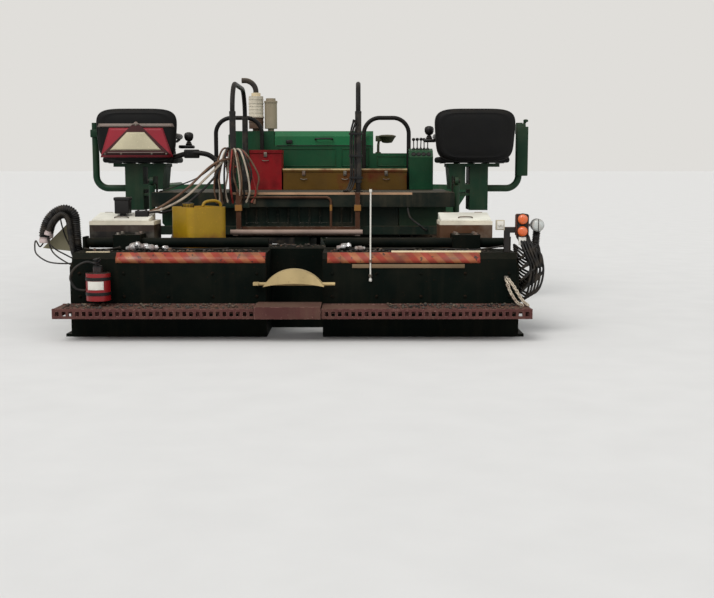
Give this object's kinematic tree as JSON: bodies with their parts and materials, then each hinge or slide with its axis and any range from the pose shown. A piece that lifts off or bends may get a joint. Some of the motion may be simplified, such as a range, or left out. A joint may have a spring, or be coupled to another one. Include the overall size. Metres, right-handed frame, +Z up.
{
  "type": "tracked asphalt paver",
  "caption": "Tracked asphalt paver with front hopper, conveyors, augers, raised operator deck and an extending screed that lifts on tow arms.",
  "frame": {"origin": "on the ground at the middle of the machine's bounding box", "axes": "+Y is the direction of travel, +X is right as seen from behind, +Z is up"},
  "size_m": [3.844, 6.203, 2.089],
  "materials": {
    "green_paint": "semi-gloss, dusty",
    "dark_green_paint": "satin, dusty",
    "black_paint": "satin",
    "worn_steel": "worn",
    "bright_steel": "polished by wear",
    "rust_paint": "rusty",
    "track_rubber": "matte, dusty",
    "cream_paint": "heat-stained",
    "red_paint": "scuffed",
    "yellow_plastic": "sun-bleached",
    "seat_shell": "matte",
    "seat_vinyl": "matte",
    "pale_deck": "dusty",
    "tan_guard": "dusty",
    "orange_paint": "scuffed",
    "board_steel": "rusty"
  },
  "bodies": {
    "tractor": {"chassis_frame": "dark_green_paint", "engine_block": "worn_steel", "engine_housing": "green_paint", "exhaust_stack": "cream_paint", "operator_deck": "dark_green_paint", "rear_steps": "rust_paint", "handrails": "black_paint", "console": "green_paint", "deck_boxes": "red_paint", "side_tanks": "green_paint", "track_left": "track_rubber", "track_right": "track_rubber", "track_frames": "dark_green_paint", "track_wheels": "worn_steel", "hopper_floor": "dark_green_paint", "conveyors": "worn_steel", "auger_drive": "dark_green_paint"},
    "lid": {"hood_lid": "green_paint"},
    "wing_l": {"wing_left": "green_paint"},
    "wing_r": {"wing_right": "green_paint"},
    "push_bar": {"push_beam": "dark_green_paint"},
    "push_rol_l": {"push_roller_left": "bright_steel"},
    "push_rol_r": {"push_roller_right": "bright_steel"},
    "aug_l": {"auger_left": "worn_steel"},
    "aug_r": {"auger_right": "worn_steel"},
    "seat_l": {"seat_stand_left": "green_paint", "seat_shell_left": "seat_shell", "seat_pads_left": "seat_vinyl"},
    "seat_r": {"seat_stand_right": "green_paint", "seat_shell_right": "seat_shell", "seat_pads_right": "seat_vinyl"},
    "screed": {"tow_arms": "green_paint", "basic_screed": "dark_green_paint", "screed_decks": "pale_deck", "spray_tank": "yellow_plastic"},
    "barrel_l": {"lift_barrel_left": "green_paint"},
    "rod_l": {"lift_rod_left": "bright_steel"},
    "barrel_r": {"lift_barrel_right": "green_paint"},
    "rod_r": {"lift_rod_right": "bright_steel"},
    "ext_l": {"ext_box_left": "dark_green_paint", "end_gate_left": "dark_green_paint", "footboard_left": "board_steel", "footboard_lap": "board_steel", "centre_guard": "tan_guard", "extinguisher": "red_paint"},
    "ext_r": {"ext_box_right": "dark_green_paint", "end_gate_right": "dark_green_paint", "footboard_right": "board_steel", "control_box": "orange_paint"}
  },
  "joints": [
    {"name": "hood_lid_hinge", "type": "hinge", "parent": "tractor", "child": "lid", "pos_m": [0.12, 1.252, 1.435], "axis": [-1, 0, 0], "range_deg": [0, 50]},
    {"name": "wing_left_fold", "type": "hinge", "parent": "tractor", "child": "wing_l", "pos_m": [-0.76, 2.05, 0.35], "axis": [0, 1, 0], "range_deg": [0, 55]},
    {"name": "wing_right_fold", "type": "hinge", "parent": "tractor", "child": "wing_r", "pos_m": [0.76, 2.05, 0.35], "axis": [0, -1, 0], "range_deg": [0, 55]},
    {"name": "push_beam_rock", "type": "hinge", "parent": "tractor", "child": "push_bar", "pos_m": [0, 2.837, 0.28], "axis": [0, 0, 1], "range_deg": [-4, 4]},
    {"name": "push_roller_left_spin", "type": "hinge", "parent": "push_bar", "child": "push_rol_l", "pos_m": [-0.375, 3.015, 0.48], "axis": [1, 0, 0], "continuous": true},
    {"name": "push_roller_right_spin", "type": "hinge", "parent": "push_bar", "child": "push_rol_r", "pos_m": [0.375, 3.015, 0.48], "axis": [1, 0, 0], "continuous": true},
    {"name": "auger_left_spin", "type": "hinge", "parent": "tractor", "child": "aug_l", "pos_m": [-0.64, -1.62, 0.33], "axis": [1, 0, 0], "continuous": true},
    {"name": "auger_right_spin", "type": "hinge", "parent": "tractor", "child": "aug_r", "pos_m": [0.64, -1.62, 0.33], "axis": [1, 0, 0], "continuous": true},
    {"name": "seat_left_slide", "type": "slide", "parent": "tractor", "child": "seat_l", "axis": [1, 0, 0], "range_m": [0, 0.18]},
    {"name": "seat_right_slide", "type": "slide", "parent": "tractor", "child": "seat_r", "axis": [-1, 0, 0], "range_m": [0, 0.18]},
    {"name": "screed_lift", "type": "hinge", "parent": "tractor", "child": "screed", "pos_m": [0, 0.45, 0.48], "axis": [-1, 0, 0], "range_deg": [0, 6]},
    {"name": "extend_left", "type": "slide", "parent": "screed", "child": "ext_l", "axis": [-1, 0, 0], "range_m": [-0.195, 0.95]},
    {"name": "extend_right", "type": "slide", "parent": "screed", "child": "ext_r", "axis": [1, 0, 0], "range_m": [-0.195, 0.95]},
    {"name": "lift_left_swing", "type": "hinge", "parent": "tractor", "child": "barrel_l", "pos_m": [-1.282, -1.3, 1.09], "axis": [1, 0, 0], "range_deg": [0, 4.3]},
    {"name": "lift_left_stroke", "type": "slide", "parent": "barrel_l", "child": "rod_l", "axis": [0, 0, 1], "range_m": [0, 0.185]},
    {"name": "lift_right_swing", "type": "hinge", "parent": "tractor", "child": "barrel_r", "pos_m": [1.282, -1.3, 1.09], "axis": [1, 0, 0], "range_deg": [0, 4.3]},
    {"name": "lift_right_stroke", "type": "slide", "parent": "barrel_r", "child": "rod_r", "axis": [0, 0, 1], "range_m": [0, 0.185]}
  ],
  "couplings": [
    {"joint": "lift_left_swing", "follows": "screed_lift", "ratio": 0.6833},
    {"joint": "lift_left_stroke", "follows": "screed_lift", "m_per_rad": 1.7332},
    {"joint": "lift_right_swing", "follows": "screed_lift", "ratio": 0.6833},
    {"joint": "lift_right_stroke", "follows": "screed_lift", "m_per_rad": 1.7332}
  ]
}
